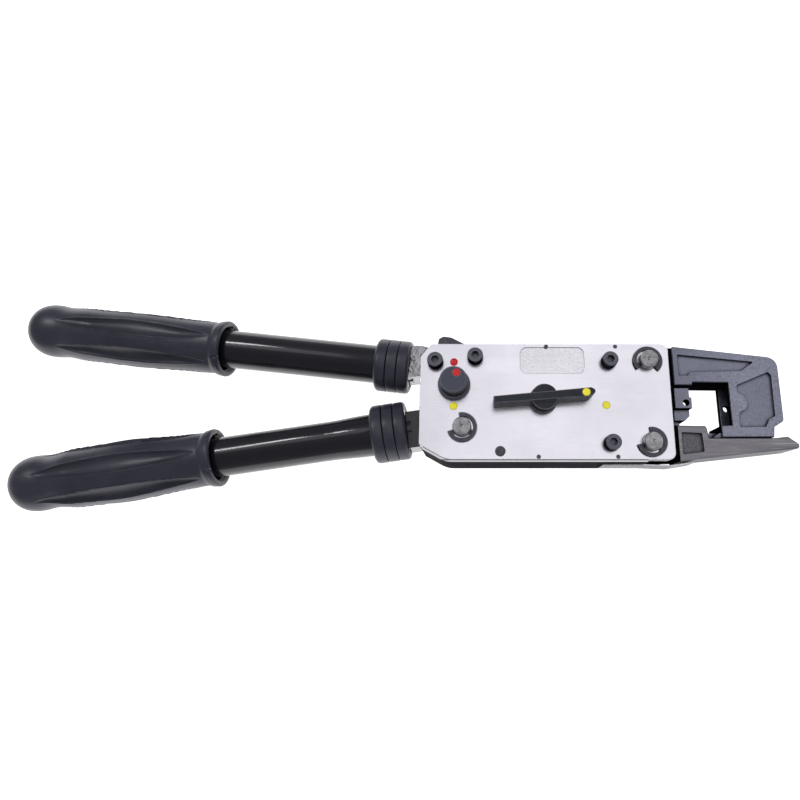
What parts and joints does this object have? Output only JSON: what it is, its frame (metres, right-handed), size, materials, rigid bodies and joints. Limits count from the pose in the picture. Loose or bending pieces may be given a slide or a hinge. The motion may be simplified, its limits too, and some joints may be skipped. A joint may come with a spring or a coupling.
{
  "type": "crimping tool",
  "caption": "Two-handed ratchet crimping tool with side plates, hinged C-shaped jaw, latch arm, sliding ram, pointer lever and release knob.",
  "frame": {"origin": "on the axis of the moving handle's pivot pin, at the end of its head, which the tool rests on", "axes": "+X from the handles to the jaws, +Y towards the fixed handle, +Z out of the front plate"},
  "size_m": [0.5571, 0.1536, 0.055],
  "materials": {
    "nickel_plate": "satin nickel-plated steel plate, finely brushed",
    "nickel_root": "bright nickel-plated steel",
    "blackened_steel": "blue-grey blackened steel with worn edges",
    "worn_steel": "blackened steel worn to grey, fine scratches",
    "black_oxide": "black oxide on fasteners and strips",
    "spring_steel": "bright spring steel",
    "pin_steel": "blackened pin, turned end face",
    "hidden_steel": "ground steel of the inner mechanism",
    "gloss_black_paint": "gloss black paint on steel",
    "black_rubber": "moulded rubber, soft sheen",
    "lever_black": "black coated lever and knob",
    "red_mark": "red enamel fill",
    "yellow_mark": "yellow enamel fill"
  },
  "bodies": {
    "frame": {"front_side_plate": "nickel_plate", "rear_side_plate": "nickel_plate", "red_plate_mark": "red_mark", "yellow_plate_marks": "yellow_mark", "bottom_cover_strip": "black_oxide", "top_cover_strip": "black_oxide", "upper_guide_block": "hidden_steel", "lower_guide_block": "hidden_steel", "handle_pivot_pin": "pin_steel", "jaw_pivot_pin": "pin_steel", "latch_pivot_pin": "pin_steel", "retaining_rings": "black_oxide", "cap_screws": "black_oxide", "dowel_pins": "black_oxide", "stop_pin": "black_oxide", "upper_handle_tube": "gloss_black_paint", "upper_collar": "black_rubber", "upper_grip": "black_rubber", "upper_handle_root": "nickel_root", "holding_pawl_spring": "spring_steel", "latch_spring": "spring_steel"},
    "moving_handle": {"lower_handle_root": "gloss_black_paint", "lower_handle_tube": "gloss_black_paint", "lower_collar": "black_rubber", "lower_grip": "black_rubber", "drive_pawl_pin": "hidden_steel", "drive_pawl_spring": "spring_steel"},
    "drive_pawl": {"drive_pawl": "hidden_steel"},
    "ram": {"ram_bar": "blackened_steel", "die_holder_cheek": "blackened_steel"},
    "pointer_lever": {"return_lever": "lever_black", "lever_mark": "yellow_mark", "lever_shaft": "hidden_steel", "return_pinion": "hidden_steel"},
    "knob": {"release_knob": "lever_black", "knob_mark": "red_mark", "cam_shaft": "hidden_steel"},
    "holding_pawl": {"holding_pawl": "hidden_steel"},
    "thumb_lever": {"thumb_lever": "black_oxide"},
    "upper_jaw": {"upper_jaw": "blackened_steel"},
    "latch": {"latch_arm": "worn_steel"}
  },
  "joints": [
    {"name": "handle_pivot", "type": "hinge", "parent": "frame", "child": "moving_handle", "pos_m": [0, 0, 0.022], "axis": [0, 0, 1], "range_deg": [-9.5, 5]},
    {"name": "drive_pawl_pivot", "type": "hinge", "parent": "moving_handle", "child": "drive_pawl", "pos_m": [0, 0.0165, 0.022], "axis": [0, 0, 1], "range_deg": [-6.5, 12.5], "deforming": ["drive_pawl_spring"]},
    {"name": "ram_slide", "type": "slide", "parent": "frame", "child": "ram", "axis": [1, 0, 0], "range_m": [-0.0012, 0.0188]},
    {"name": "lever_turn", "type": "hinge", "parent": "frame", "child": "pointer_lever", "pos_m": [0.0566, 0.0193, 0.022], "axis": [0, 0, 1], "range_deg": [-9.67, 144.12]},
    {"name": "knob_turn", "type": "hinge", "parent": "frame", "child": "knob", "pos_m": [-0.0057, 0.0305, 0.022], "axis": [0, 0, 1], "range_deg": [0, 180]},
    {"name": "holding_pawl_pivot", "type": "hinge", "parent": "frame", "child": "holding_pawl", "pos_m": [0.0091, 0.0506, 0.022], "axis": [0, 0, 1], "range_deg": [-0.2, 7.2], "deforming": ["holding_pawl_spring"]},
    {"name": "thumb_lever_press", "type": "hinge", "parent": "frame", "child": "thumb_lever", "pos_m": [0.0091, 0.0506, 0.022], "axis": [0, 0, 1], "range_deg": [0, 8], "stiffness_Nm_per_rad": 0.05, "springref_deg": -11.46},
    {"name": "jaw_hinge", "type": "hinge", "parent": "frame", "child": "upper_jaw", "pos_m": [0.1315, 0.048, 0.022], "axis": [0, 0, 1], "range_deg": [0, 70]},
    {"name": "latch_hinge", "type": "hinge", "parent": "frame", "child": "latch", "pos_m": [0.1307, -0.0103, 0.022], "axis": [0, 0, 1], "range_deg": [-20, 0], "stiffness_Nm_per_rad": 0.4, "springref_deg": 17.19, "deforming": ["latch_spring"]}
  ],
  "couplings": [
    {"joint": "drive_pawl_pivot", "follows": "handle_pivot", "ratio": -1},
    {"joint": "lever_turn", "follows": "ram_slide", "rad_per_m": 133.33},
    {"joint": "holding_pawl_pivot", "follows": "knob_turn", "ratio": 0.038889}
  ]
}
